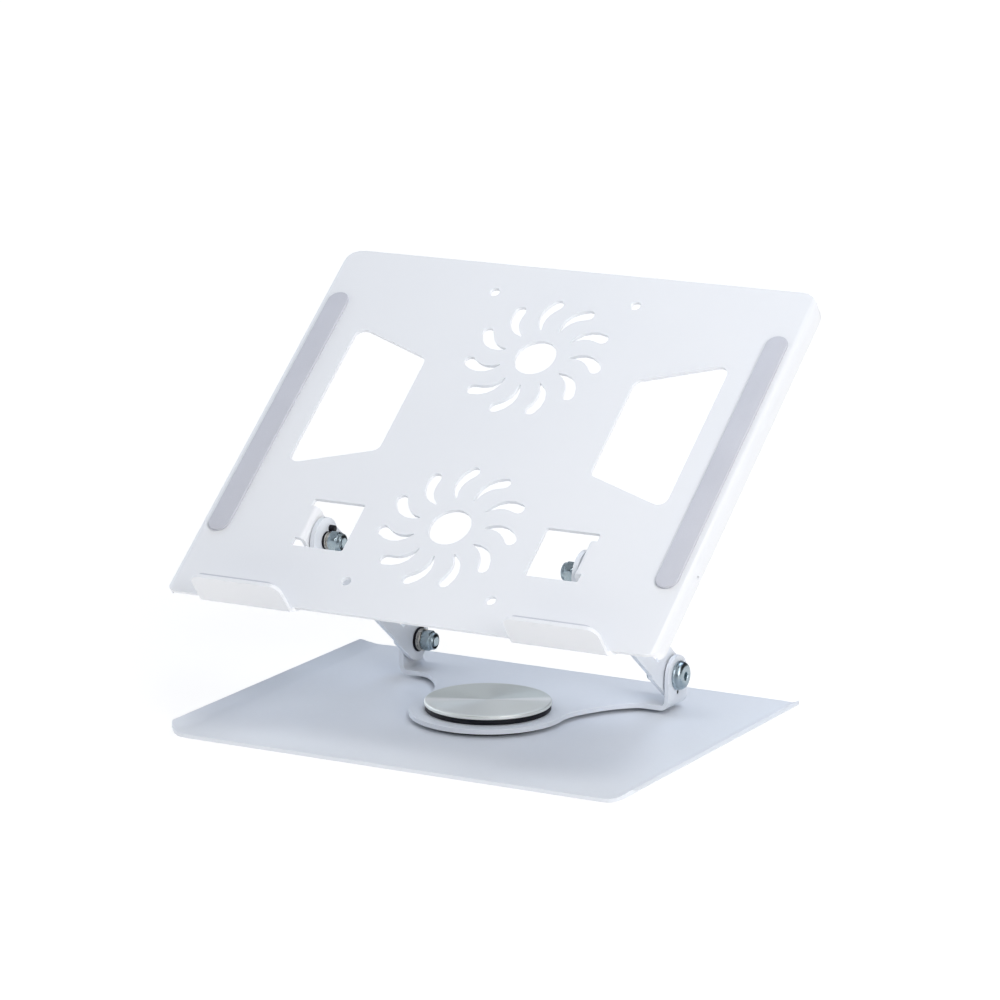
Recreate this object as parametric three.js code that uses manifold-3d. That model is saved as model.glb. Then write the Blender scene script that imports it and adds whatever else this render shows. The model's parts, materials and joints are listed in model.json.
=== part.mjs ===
// Swivelling, height-adjustable laptop stand in folded sheet metal.
// Millimetres, +Z up, +Y to the back. The origin is on the desk, under the swivel axis.
import * as THREE from 'three';
import { mergeVertices } from 'three/addons/utils/BufferGeometryUtils.js';
import Module from 'manifold-3d';

const wasm = await Module();
wasm.setup();

// Clearance left between separate pieces.
const GAP = 0.15;

// Base plate: flat sheet whose two side edges curl up.
const BASE_WIDTH = 265;
const BASE_DEPTH = 204.5;
const BASE_SHEET = 2;
const BASE_CORNER = 14;
const BASE_CURL_RADIUS = 14;
const BASE_CURL_ANGLE = 44;

// Rubber feet.
const FOOT_RADIUS = 9;
const FOOT_HEIGHT = 2;
const FOOT_X = 104;
const FOOT_Y = 84;

// Swivel pivot, from the base plate up to the cap.
const BUSH_RADIUS = 8.8;
const BUSH_BORE = 4;
const BUSH_FLANGE_RADIUS = 15;
const BUSH_FLANGE = 1.1;
const PIVOT_HOLE = 9.1;
const SLIDE_RADIUS = 36;
const SLIDE_THICKNESS = 1.7;
const THRUST_RADIUS = 15;
const THRUST_THICKNESS = 0.6;
const PIVOT_NUT_RADIUS = 14;
const PIVOT_NUT_HEIGHT = 1.7;
const PIVOT_NUT_SIDES = 8;
const RING_RADIUS = 32.4;
const RING_INNER = 29.4;
const RING_HEIGHT = 2.5;
const CAP_RADIUS = 32.7;
const CAP_HEIGHT = 2.2;
const CAP_SHEET = 1.1;
const CAP_SKIRT = 2.2;
const CAP_ROUND = 0.7;

// Swivel bracket: disc, two curved arms, rear bar and two lugs turned up.
const BRACKET_SHEET = 2.5;
const BRACKET_DISC = 40.5;
const BRACKET_ARC_END = 8;
const BRACKET_WAIST_X = 66;
const BRACKET_BEND = 2.5;

// Hinge stations, measured outwards from the middle plane along X.
const ARM_INNER = 73.7;
const ARM_SHEET = 2.5;
const FRICTION_WASHER = 0.6;
const LUG_INNER = ARM_INNER + ARM_SHEET + FRICTION_WASHER + 2 * GAP;
const LUG_RADIUS = 10.5;
const PIVOT_BORE = 3.25;
const LOCATING_HOLE = 1.2;
const LOCATING_OFFSET = 8.9;

// Lower hinge axis, behind the swivel.
const LOWER_Y = 57.5;
const LOWER_Z = 23.2;

// Arms, drawn with the lower pivot at zero and the upper pivot at ARM_LENGTH.
const ARM_LENGTH = 119;
const ARM_ANGLE = 37.8;
const HEAD_ABOVE = 10.5;
const HEAD_BELOW = 11.5;
const HEAD_END = 10.3;
const UPPER_EYE = 11.9;
const LIMB_TOP = -2;
const LIMB_BOTTOM = -10.5;
const LIMB_STEP = 20;
const SHOULDER_LOW = 18.3;
const SHOULDER_HIGH = 24;
const SHOULDER_LEAN = 3.9;
const ARM_HOLE = 1.9;
const ARM_HOLE_OFFSET = 7;
const UPPER_PIN_PROUD = 3;

// Tray, drawn flat: X across, Y from the front edge to the back, Z out of the top face.
const TRAY_WIDTH = 280;
const TRAY_DEPTH = 235.6;
const TRAY_SHEET = 2;
const TRAY_TILT = 38.5;
const TRAY_BEND = 5;
const TRAY_REAR_CORNER = 12;
const TRAY_FRONT_CORNER = 8;
const FLANGE_DEPTH = 8.5;
const FLANGE_ROUND = 8;
const TRAY_PIVOT_Y = 53.5;
const TRAY_PIVOT_Z = -14;

// Openings through the tray.
const HATCH = { inner: 52, outer: 82, front: 37.8, back: 68.6, corner: 1.2 };
const LUG_BEND = 3.5;
const VENT = { outer: 108.6, inner: 60.7, front: 88.9, back: 184, frontIn: 104.4, backIn: 167.2, corner: 5 };
const ROSETTE_Y = [61.4, 175.3];
const ROSETTE_SLOTS = 11;
const ROSETTE_HUB = 11.3;
const SLOT_TIP = [18.9, 1.9];
const SLOT_BELLY = [29.4, 5.9];
const SLOT_END = [36, -3.4];
const SLOT_HALF = 3.15;
const SLOT_TIP_HALF = 0.35;
const SMALL_HOLE = 2.8;
const SMALL_HOLE_X = 41.2;
const SMALL_HOLE_Y = [20, 216];

// Front hooks and the rubber pads.
const HOOK = { inner: 63.1, outer: 115.3, height: 19.5, bend: 1.5, corner: 6, flare: 3.5, root: 4 };
const PAD = { inner: 122, outer: 134, front: 40.5, back: 204.5, height: 1.4 };
const HOOK_PAD = { margin: 3, low: 2.2, high: 19.2, thickness: 1, corner: 4.5 };

// Hinge hardware, drawn along Y with the bearing face at zero.
const HEAD_RADIUS = 7.6;
const HEAD_HEIGHT = 4.4;
const SHANK_RADIUS = 2.95;
const SHANK_TIP = 62.8;
const SOCKET = { acrossFlats: 4, depth: 2.2 };
const SEAL_WASHER = 0.8;
const FLAT_WASHER = 2.4;
const LOWER_WASHERS = { seal: 6.6, flat: 5.9 };
const UPPER_WASHERS = { seal: 4.8, flat: 4.5 };
const FRICTION_RADIUS = 9;
const WASHER_BORE = 3.2;
const NUT = { acrossFlats: 10, hex: 4.5, collar: 4.6, height: 6.5, corner: 5.8, round: 0.5 };

// Facets.
const FINE = 48;
const COARSE = 24;
const BEND_STEPS = 5;

const radians = THREE.MathUtils.degToRad;

function material(colour, roughness, metalness) {
  return { color: colour, roughness, metalness };
}

const PAINT = material(0xe4e9ee, 0.4, 0);
const STEEL = material(0x9aa6ad, 0.3, 1);
const ALUMINIUM = material(0xc2c5c8, 0.32, 1);
const BLACK = material(0x15161a, 0.6, 0);
const GREY_RUBBER = material(0xc2c4c6, 0.8, 0);
const DARK_RUBBER = material(0x2b2c2f, 0.85, 0);

// ---- solids ------------------------------------------------------------------

function solid(geometry) {
  const bare = geometry.clone();
  bare.deleteAttribute('normal');
  bare.deleteAttribute('uv');
  const merged = mergeVertices(bare, 1e-4);
  return new wasm.Manifold(new wasm.Mesh({
    numProp: 3,
    vertProperties: new Float32Array(merged.attributes.position.array),
    triVerts: new Uint32Array(merged.index.array),
  }));
}

function geometryOf(manifold) {
  const mesh = manifold.getMesh();
  const geometry = new THREE.BufferGeometry();
  geometry.setAttribute('position', new THREE.BufferAttribute(new Float32Array(mesh.vertProperties), 3));
  geometry.setIndex(new THREE.BufferAttribute(new Uint32Array(mesh.triVerts), 1));
  geometry.computeVertexNormals();
  return geometry;
}

function union(first, ...rest) {
  return rest.reduce((body, next) => body.add(next), first);
}

function cut(body, ...tools) {
  return tools.reduce((left, tool) => left.subtract(tool), body);
}

// Extrudes a closed outline; a and b are the outline's axes and the depth runs along a x b.
function prism(outline, depth, a, b, origin = [0, 0, 0]) {
  const geometry = new THREE.ExtrudeGeometry(new THREE.Shape(outline), { depth, bevelEnabled: false });
  const u = new THREE.Vector3(...a);
  const v = new THREE.Vector3(...b);
  const w = new THREE.Vector3().crossVectors(u, v);
  geometry.applyMatrix4(new THREE.Matrix4().makeBasis(u, v, w).setPosition(...origin));
  return solid(geometry);
}

const X = [1, 0, 0];
const Y = [0, 1, 0];
const Z = [0, 0, 1];

function upright(outline, z, height) {
  return prism(outline, height, X, Y, [0, 0, z]);
}

// Outline in (x, z), running from y = front to y = back.
function alongY(outline, front, back) {
  return prism(outline, back - front, X, Z, [0, back, 0]);
}

// Outline in (y, z), running from x = left to x = right.
function alongX(outline, left, right) {
  return prism(outline, right - left, Y, Z, [left, 0, 0]);
}

function turned(profile, segments) {
  const points = profile.map(([radius, height]) => new THREE.Vector2(radius, height));
  const geometry = new THREE.LatheGeometry(points, segments);
  geometry.rotateX(Math.PI / 2);
  return solid(geometry);
}

// A flat ring standing on z = low.
function ring(outer, inner, low, thickness, segments) {
  const high = low + thickness;
  return turned([[inner, low], [outer, low], [outer, high], [inner, high], [inner, low]], segments);
}

function circle(x, y, radius, segments) {
  return Array.from({ length: segments }, (_, i) => {
    const angle = (2 * Math.PI * i) / segments;
    return new THREE.Vector2(x + radius * Math.cos(angle), y + radius * Math.sin(angle));
  });
}

function arc(x, y, radius, from, to, steps = BEND_STEPS) {
  return Array.from({ length: steps + 1 }, (_, i) => {
    const angle = radians(from + ((to - from) * i) / steps);
    return new THREE.Vector2(x + radius * Math.cos(angle), y + radius * Math.sin(angle));
  });
}

// Closed outline through [x, y, radius] corners, each corner rounded by its radius.
function rounded(corners, steps = BEND_STEPS) {
  const count = corners.length;
  return corners.flatMap(([x, y, radius], i) => {
    const corner = new THREE.Vector2(x, y);
    if (!radius) return [corner];
    const before = new THREE.Vector2(...corners[(i + count - 1) % count]).sub(corner).normalize();
    const after = new THREE.Vector2(...corners[(i + 1) % count]).sub(corner).normalize();
    const half = before.angleTo(after) / 2;
    const centre = before.clone().add(after).normalize().multiplyScalar(radius / Math.sin(half)).add(corner);
    const start = before.multiplyScalar(radius / Math.tan(half)).add(corner).sub(centre);
    const end = after.multiplyScalar(radius / Math.tan(half)).add(corner).sub(centre);
    const sweep = Math.atan2(start.cross(end), start.dot(end));
    return Array.from({ length: steps + 1 }, (_, k) =>
      start.clone().rotateAround(new THREE.Vector2(), (sweep * k) / steps).add(centre));
  });
}

function roundedRectangle(left, right, low, high, radius) {
  return rounded([[left, low, radius], [right, low, radius], [right, high, radius], [left, high, radius]]);
}

function mirrored(outline) {
  return outline.map((point) => new THREE.Vector2(-point.x, point.y)).reverse();
}

function sided(outline, side) {
  return side > 0 ? outline : mirrored(outline);
}

// ---- levels up the swivel pivot ----------------------------------------------

const BASE_BOTTOM = FOOT_HEIGHT + GAP;
const BASE_TOP = BASE_BOTTOM + BASE_SHEET;
const SLIDE_BOTTOM = BASE_TOP + GAP;
const BRACKET_BOTTOM = SLIDE_BOTTOM + SLIDE_THICKNESS + GAP;
const BRACKET_TOP = BRACKET_BOTTOM + BRACKET_SHEET;
const RING_BOTTOM = BRACKET_TOP + GAP;
const NUT_BOTTOM = RING_BOTTOM + THRUST_THICKNESS + GAP;
const CAP_BOTTOM = RING_BOTTOM + RING_HEIGHT + GAP;
const CAP_TOP = CAP_BOTTOM + CAP_HEIGHT;

// ---- base --------------------------------------------------------------------

function basePlate() {
  const outer = BASE_CURL_RADIUS + BASE_SHEET;
  const centreX = BASE_WIDTH / 2 - outer * Math.sin(radians(BASE_CURL_ANGLE));
  const centreZ = BASE_TOP + BASE_CURL_RADIUS;
  const swept = -90 + BASE_CURL_ANGLE;
  const right = [...arc(centreX, centreZ, outer, -90, swept), ...arc(centreX, centreZ, BASE_CURL_RADIUS, swept, -90)];
  const sheet = alongY([...right, ...mirrored(right)], -BASE_DEPTH / 2, BASE_DEPTH / 2);
  const plan = roundedRectangle(-BASE_WIDTH / 2, BASE_WIDTH / 2, -BASE_DEPTH / 2, BASE_DEPTH / 2, BASE_CORNER);
  const clipped = sheet.intersect(upright(plan, 0, BASE_DEPTH));
  return cut(clipped, upright(circle(0, 0, PIVOT_HOLE, FINE), 0, BASE_DEPTH));
}

function foot(x, y) {
  const edge = 0.5;
  const puck = turned([
    [0, 0], [FOOT_RADIUS - edge, 0], [FOOT_RADIUS, edge], [FOOT_RADIUS, FOOT_HEIGHT], [0, FOOT_HEIGHT],
  ], COARSE);
  return puck.translate([x, y, 0]);
}

function pivotBush() {
  const low = FOOT_HEIGHT - BUSH_FLANGE;
  const high = NUT_BOTTOM + PIVOT_NUT_HEIGHT;
  return turned([
    [BUSH_BORE, low], [BUSH_FLANGE_RADIUS, low], [BUSH_FLANGE_RADIUS, FOOT_HEIGHT],
    [BUSH_RADIUS, FOOT_HEIGHT], [BUSH_RADIUS, high], [BUSH_BORE, high], [BUSH_BORE, low],
  ], COARSE);
}

function pivotNut() {
  const outline = circle(0, 0, PIVOT_NUT_RADIUS, PIVOT_NUT_SIDES);
  const bore = upright(circle(0, 0, PIVOT_HOLE, COARSE), 0, CAP_TOP);
  return cut(upright(outline, NUT_BOTTOM, PIVOT_NUT_HEIGHT), bore);
}

function swivelCap() {
  const collar = RING_INNER - 2 * GAP;
  const wall = collar - 1;
  const collarBottom = RING_BOTTOM + RING_HEIGHT / 2;
  const top = arc(CAP_RADIUS - CAP_ROUND, CAP_TOP - CAP_ROUND, CAP_ROUND, 0, 90, 3);
  const under = CAP_TOP - CAP_SHEET;
  return turned([
    [0, under], [wall, under], [wall, collarBottom], [collar, collarBottom], [collar, CAP_BOTTOM],
    [CAP_RADIUS, CAP_BOTTOM], ...top.map((point) => [point.x, point.y]), [0, CAP_TOP],
  ], FINE);
}

// ---- swivel bracket ----------------------------------------------------------

function bracketPlan() {
  const backY = LOWER_Y + LUG_RADIUS;
  const frontY = LOWER_Y - LUG_RADIUS;
  const edge = LUG_INNER - BRACKET_BEND;
  const end = radians(BRACKET_ARC_END);
  const shape = new THREE.Shape();
  shape.absarc(0, 0, BRACKET_DISC, -Math.PI / 2, end);
  const [endX, endY] = [BRACKET_DISC * Math.cos(end), BRACKET_DISC * Math.sin(end)];
  const reach = 12;
  const ease = 10;
  shape.bezierCurveTo(
    endX - reach * Math.sin(end), endY + reach * Math.cos(end),
    BRACKET_WAIST_X - ease, frontY, BRACKET_WAIST_X, frontY,
  );
  shape.lineTo(edge, frontY);
  const half = shape.getPoints(COARSE / 2);
  const right = [...half, new THREE.Vector2(edge, backY)];
  return [...right, ...mirrored(right.slice(1))];
}

function lugSide(y, z, bottom) {
  return [
    ...arc(y, z, LUG_RADIUS, 0, 180, COARSE / 2),
    new THREE.Vector2(y - LUG_RADIUS, bottom),
    new THREE.Vector2(y + LUG_RADIUS, bottom),
  ];
}

function bracketLug(side) {
  const outerBend = BRACKET_BEND + BRACKET_SHEET;
  const centre = LUG_INNER - BRACKET_BEND;
  const top = LOWER_Z + LUG_RADIUS;
  const bendZ = BRACKET_TOP + BRACKET_BEND;
  const root = BRACKET_WAIST_X + 2;
  const profile = sided([
    new THREE.Vector2(root, BRACKET_BOTTOM),
    ...arc(centre, bendZ, outerBend, -90, 0),
    new THREE.Vector2(LUG_INNER + BRACKET_SHEET, top),
    new THREE.Vector2(LUG_INNER, top),
    ...arc(centre, bendZ, BRACKET_BEND, 0, -90),
    new THREE.Vector2(root, BRACKET_TOP),
  ], side);
  const strip = alongY(profile, LOWER_Y - LUG_RADIUS, LOWER_Y + LUG_RADIUS);
  const span = LUG_INNER + outerBend;
  const face = alongX(lugSide(LOWER_Y, LOWER_Z, 0), -span, span);
  const plan = roundedRectangle(-span, span, LOWER_Y - LUG_RADIUS, LOWER_Y + LUG_RADIUS, 0);
  return strip.intersect(face).intersect(upright(plan, 0, span));
}

function crossHole(y, z, radius, segments = COARSE) {
  return alongX(circle(y, z, radius, segments), -TRAY_WIDTH / 2, TRAY_WIDTH / 2);
}

function swivelBracket() {
  const plate = upright(bracketPlan(), BRACKET_BOTTOM, BRACKET_SHEET);
  const whole = union(plate, bracketLug(1), bracketLug(-1));
  return cut(
    whole,
    upright(circle(0, 0, PIVOT_HOLE, COARSE), 0, CAP_TOP),
    crossHole(LOWER_Y, LOWER_Z, PIVOT_BORE),
    crossHole(LOWER_Y, LOWER_Z - LOCATING_OFFSET, LOCATING_HOLE, COARSE / 2),
  );
}

// ---- arms --------------------------------------------------------------------

function armOutline() {
  const tail = -HEAD_END;
  const tip = ARM_LENGTH + HEAD_END;
  const end = HEAD_END - 0.1;
  const upper = ARM_LENGTH - SHOULDER_HIGH;
  return rounded([
    [tail, -HEAD_BELOW, end], [LIMB_STEP - 1, -HEAD_BELOW, 0], [LIMB_STEP, LIMB_BOTTOM, 0],
    [ARM_LENGTH - LIMB_STEP, LIMB_BOTTOM, 0], [ARM_LENGTH - LIMB_STEP + 1, -HEAD_BELOW, 0],
    [tip, -HEAD_BELOW, end], [tip, HEAD_ABOVE, end],
    [upper + SHOULDER_LEAN, HEAD_ABOVE, 3], [upper, LIMB_TOP, 1.2],
    [SHOULDER_LOW, LIMB_TOP, 1.2], [SHOULDER_LOW - SHOULDER_LEAN, HEAD_ABOVE, 3], [tail, HEAD_ABOVE, end],
  ], BEND_STEPS + 1);
}

function arm(side) {
  const cos = Math.cos(radians(ARM_ANGLE));
  const sin = Math.sin(radians(ARM_ANGLE));
  const along = [0, -cos, sin];
  const up = [0, sin, cos];
  const face = side > 0 ? ARM_INNER + ARM_SHEET : -ARM_INNER;
  const origin = [face, LOWER_Y, LOWER_Z];
  const plate = (outline) => prism(outline, ARM_SHEET, along, up, origin);
  const hole = (s, t, radius, segments) => plate(circle(s, t, radius, segments));
  return cut(
    union(plate(armOutline()), hole(ARM_LENGTH, 0, UPPER_EYE, FINE)),
    hole(0, 0, PIVOT_BORE, COARSE),
    hole(ARM_LENGTH, 0, PIVOT_BORE, COARSE),
    hole(0, ARM_HOLE_OFFSET, ARM_HOLE, COARSE / 2),
    hole(ARM_LENGTH, ARM_HOLE_OFFSET, ARM_HOLE, COARSE / 2),
  );
}

// Stop pin in the hole over a hinge, standing proud of the arm's inner face.
function stopPin(side, along, proud) {
  const angle = radians(ARM_ANGLE);
  const y = LOWER_Y - along * Math.cos(angle) + ARM_HOLE_OFFSET * Math.sin(angle);
  const z = LOWER_Z + along * Math.sin(angle) + ARM_HOLE_OFFSET * Math.cos(angle);
  const ends = [side * (ARM_INNER - proud), side * (ARM_INNER + ARM_SHEET)].sort((a, b) => a - b);
  return alongX(circle(y, z, ARM_HOLE - GAP, COARSE), ...ends);
}

// ---- tray --------------------------------------------------------------------

function onTray(body) {
  const cos = Math.cos(radians(TRAY_TILT));
  const sin = Math.sin(radians(TRAY_TILT));
  const upperY = LOWER_Y - ARM_LENGTH * Math.cos(radians(ARM_ANGLE));
  const upperZ = LOWER_Z + ARM_LENGTH * Math.sin(radians(ARM_ANGLE));
  const y = upperY - TRAY_PIVOT_Y * cos + TRAY_PIVOT_Z * sin;
  const z = upperZ - TRAY_PIVOT_Y * sin - TRAY_PIVOT_Z * cos;
  return body.rotate([TRAY_TILT, 0, 0]).translate([0, y, z]);
}

function traySheet() {
  const half = TRAY_WIDTH / 2;
  const bend = half - TRAY_BEND;
  const inner = TRAY_BEND - TRAY_SHEET;
  const right = [
    new THREE.Vector2(half - TRAY_SHEET, -FLANGE_DEPTH),
    new THREE.Vector2(half, -FLANGE_DEPTH),
    ...arc(bend, -TRAY_BEND, TRAY_BEND, 0, 90),
  ];
  const underside = arc(-bend, -TRAY_BEND, inner, 180, 90);
  const under = [...underside, ...mirrored(underside)];
  const section = [...right, ...mirrored(right), ...under];
  const plan = rounded([
    [-half, 0, TRAY_FRONT_CORNER], [half, 0, TRAY_FRONT_CORNER],
    [half, TRAY_DEPTH, TRAY_REAR_CORNER], [-half, TRAY_DEPTH, TRAY_REAR_CORNER],
  ]);
  const sideView = rounded([
    [0, -FLANGE_DEPTH, FLANGE_ROUND], [TRAY_DEPTH, -FLANGE_DEPTH, FLANGE_ROUND], [TRAY_DEPTH, 1, 0], [0, 1, 0],
  ]);
  return alongY(section, 0, TRAY_DEPTH)
    .intersect(upright(plan, -TRAY_WIDTH, 2 * TRAY_WIDTH))
    .intersect(alongX(sideView, -half, half));
}

function through(outline) {
  return upright(outline, -3 * TRAY_SHEET, 4 * TRAY_SHEET);
}

// One comma-shaped slot: a point near the hub that swells to a round outer end.
function slotOutline() {
  const spine = new THREE.QuadraticBezierCurve(
    new THREE.Vector2(...SLOT_TIP), new THREE.Vector2(...SLOT_BELLY), new THREE.Vector2(...SLOT_END),
  );
  const stations = [0, 0.2, 0.4, 0.6, 0.8, 1];
  const offset = (u, sign) => {
    const tangent = spine.getTangent(u);
    const half = SLOT_TIP_HALF + (SLOT_HALF - SLOT_TIP_HALF) * (1 - (1 - u) ** 1.8);
    return spine.getPoint(u).add(new THREE.Vector2(-tangent.y, tangent.x).multiplyScalar(sign * half));
  };
  const heading = THREE.MathUtils.radToDeg(spine.getTangent(1).angle());
  const cap = arc(...SLOT_END, SLOT_HALF, heading - 90, heading + 90).slice(1, -1);
  const right = stations.map((u) => offset(u, -1));
  const left = stations.map((u) => offset(u, 1)).reverse();
  return [...right, ...cap, ...left];
}

function rosette(centreY) {
  const slot = slotOutline();
  const origin = new THREE.Vector2();
  const centre = new THREE.Vector2(0, centreY);
  const slots = Array.from({ length: ROSETTE_SLOTS }, (_, i) => {
    const turn = (2 * Math.PI * i) / ROSETTE_SLOTS;
    return through(slot.map((point) => point.clone().rotateAround(origin, turn).add(centre)));
  });
  return [through(circle(0, centreY, ROSETTE_HUB, COARSE)), ...slots];
}

function ventOutline(side) {
  return sided(rounded([
    [VENT.inner, VENT.frontIn, VENT.corner], [VENT.outer, VENT.front, VENT.corner],
    [VENT.outer, VENT.back, VENT.corner], [VENT.inner, VENT.backIn, VENT.corner],
  ]), side);
}

function hatchOutline(side) {
  return sided(roundedRectangle(HATCH.inner, HATCH.outer, HATCH.front, HATCH.back, HATCH.corner), side);
}

// Hinge lug folded down from the outer edge of each hatch.
function trayLug(side) {
  const centre = LUG_INNER + LUG_BEND;
  const low = TRAY_PIVOT_Z - LUG_RADIUS;
  const root = HATCH.outer + 3;
  const profile = sided([
    new THREE.Vector2(root, -TRAY_SHEET),
    new THREE.Vector2(root, 0),
    ...arc(centre, -LUG_BEND, LUG_BEND, 90, 180),
    new THREE.Vector2(LUG_INNER, low),
    new THREE.Vector2(LUG_INNER + TRAY_SHEET, low),
    ...arc(centre, -LUG_BEND, LUG_BEND - TRAY_SHEET, 180, 90),
  ], side);
  const strip = alongY(profile, TRAY_PIVOT_Y - LUG_RADIUS, TRAY_PIVOT_Y + LUG_RADIUS);
  const face = lugSide(TRAY_PIVOT_Y, -TRAY_PIVOT_Z, -1).map((point) => new THREE.Vector2(point.x, -point.y)).reverse();
  return strip.intersect(alongX(face, -root, root));
}

// A hook seen from the front: rounded upper corners, and a root that flares into the tray's front edge.
function hookOutline(left, right) {
  const { height, corner, flare } = HOOK;
  const low = -TRAY_SHEET;
  return [
    new THREE.Vector2(left - flare, low - 1), new THREE.Vector2(right + flare, low - 1),
    ...arc(right + flare, low + flare, flare, 270, 180),
    ...arc(right - corner, height - corner, corner, 0, 90),
    ...arc(left + corner, height - corner, corner, 90, 180),
    ...arc(left - flare, low + flare, flare, 360, 270),
  ];
}

// Front hook: a tab that carries on from the front edge and turns up square to the tray.
function hook(side) {
  const { inner, outer, height, bend, flare, root } = HOOK;
  const profile = [
    new THREE.Vector2(root, -TRAY_SHEET),
    new THREE.Vector2(root, 0),
    ...arc(0, bend, bend, 270, 180),
    new THREE.Vector2(-bend, height),
    new THREE.Vector2(-bend - TRAY_SHEET, height),
    ...arc(0, bend, bend + TRAY_SHEET, 180, 270),
  ];
  const [left, right] = side > 0 ? [inner, outer] : [-outer, -inner];
  const front = hookOutline(left, right);
  return alongX(profile, left - flare, right + flare).intersect(alongY(front, -2 * height, height));
}

function tray() {
  const sides = [-1, 1];
  const holes = sides.flatMap((side) =>
    SMALL_HOLE_Y.map((y) => through(circle(side * SMALL_HOLE_X, y, SMALL_HOLE, COARSE / 2))));
  const openings = sides.flatMap((side) => [through(ventOutline(side)), through(hatchOutline(side))]);
  const sheet = cut(traySheet(), ...openings, ...holes, ...ROSETTE_Y.flatMap(rosette));
  const folded = union(sheet, ...sides.map(trayLug), ...sides.map(hook));
  return onTray(cut(
    folded,
    crossHole(TRAY_PIVOT_Y, TRAY_PIVOT_Z, PIVOT_BORE),
    crossHole(TRAY_PIVOT_Y, TRAY_PIVOT_Z + LOCATING_OFFSET, LOCATING_HOLE, COARSE / 2),
  ));
}

function trayPad(side) {
  const half = (PAD.outer - PAD.inner) / 2;
  const middle = (PAD.outer + PAD.inner) / 2;
  const outline = [
    ...arc(middle, PAD.back - half, half, 0, 180, COARSE / 2),
    ...arc(middle, PAD.front + half, half, 180, 360, COARSE / 2),
  ];
  return onTray(upright(sided(outline, side), GAP, PAD.height));
}

function hookPad(side) {
  const { margin, low, high, thickness, corner } = HOOK_PAD;
  const face = -HOOK.bend + GAP;
  const outline = roundedRectangle(HOOK.inner + margin, HOOK.outer - margin, low, high, corner);
  return onTray(alongY(sided(outline, side), face, face + thickness));
}

// ---- hinge hardware ----------------------------------------------------------

// Turns a piece drawn up +Z so that it points outwards along X at a hinge.
function atHinge(body, side, x) {
  return body.rotate([0, side * 90, 0]).translate([side * x, 0, 0]);
}

function screw(side, bearing) {
  const tip = -(bearing - SHANK_TIP);
  const domeX = 3.4;
  const dome = [0, 0.25, 0.5, 0.75, 1].map((u) => {
    const angle = (u * Math.PI) / 2;
    return [domeX + (HEAD_RADIUS - domeX) * Math.cos(angle), 0.8 + (HEAD_HEIGHT - 0.8) * Math.sin(angle)];
  });
  const chamfer = 0.5;
  const body = turned([
    [0, tip], [SHANK_RADIUS - chamfer, tip], [SHANK_RADIUS, tip + chamfer],
    [SHANK_RADIUS, 0], [HEAD_RADIUS, 0], ...dome, [0, HEAD_HEIGHT],
  ], COARSE);
  const socket = circle(0, 0, SOCKET.acrossFlats / Math.sqrt(3), 6);
  const recess = upright(socket, HEAD_HEIGHT - SOCKET.depth, SOCKET.depth + 1);
  return atHinge(cut(body, recess), side, bearing);
}

function washer(side, x, radius, thickness) {
  return atHinge(ring(radius, WASHER_BORE, 0, thickness, COARSE - 4), side, x);
}

function lockNut(side, x) {
  const { acrossFlats, hex, collar, height, corner, round } = NUT;
  const barrel = turned([
    [0, 0], [collar - round, 0], [collar, round], [collar, height - hex], [corner - round, height - hex],
    [corner, height - hex + round], [corner, height - round], [corner - round, height], [0, height],
  ], COARSE);
  const body = upright(circle(0, 0, acrossFlats / Math.sqrt(3), 6), -1, height + 2).intersect(barrel);
  const bore = upright(circle(0, 0, WASHER_BORE, COARSE), -1, height + 2);
  return atHinge(cut(body, bore), side, x);
}

// The stack on one hinge, as [name, body, finish], from the screw head inwards.
function hingeHardware(side, sheet, washers) {
  const bearing = LUG_INNER + sheet + GAP;
  const sealX = ARM_INNER - GAP - SEAL_WASHER;
  const flatX = sealX - GAP - FLAT_WASHER;
  const nutX = flatX - GAP - NUT.height;
  return [
    ['screw', screw(side, bearing), STEEL],
    ['friction_washer', washer(side, ARM_INNER + ARM_SHEET + GAP, FRICTION_RADIUS, FRICTION_WASHER), BLACK],
    ['seal_washer', washer(side, sealX, washers.seal, SEAL_WASHER), BLACK],
    ['flat_washer', washer(side, flatX, washers.flat, FLAT_WASHER), STEEL],
    ['lock_nut', lockNut(side, nutX), STEEL],
  ];
}

// ---- assembly ----------------------------------------------------------------

const stand = new THREE.Group();
stand.name = 'laptop_stand';

function add(name, body, finish) {
  const mesh = new THREE.Mesh(geometryOf(body), new THREE.MeshStandardMaterial(finish));
  mesh.name = name;
  stand.add(mesh);
}

add('base_plate', basePlate(), PAINT);
for (const [end, y] of [['front', -FOOT_Y], ['rear', FOOT_Y]]) {
  add(`foot_${end}_left`, foot(-FOOT_X, y), DARK_RUBBER);
  add(`foot_${end}_right`, foot(FOOT_X, y), DARK_RUBBER);
}
add('pivot_bush', pivotBush(), STEEL);
add('slide_disc', ring(SLIDE_RADIUS, PIVOT_HOLE, SLIDE_BOTTOM, SLIDE_THICKNESS, FINE), BLACK);
add('pivot_nut', pivotNut(), STEEL);
add('swivel_bracket', swivelBracket(), PAINT);
add('thrust_washer', ring(THRUST_RADIUS, PIVOT_HOLE, RING_BOTTOM, THRUST_THICKNESS, COARSE), STEEL);
add('friction_ring', ring(RING_RADIUS, RING_INNER, RING_BOTTOM, RING_HEIGHT, FINE), BLACK);
add('swivel_cap', swivelCap(), ALUMINIUM);
add('tray', tray(), PAINT);

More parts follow.
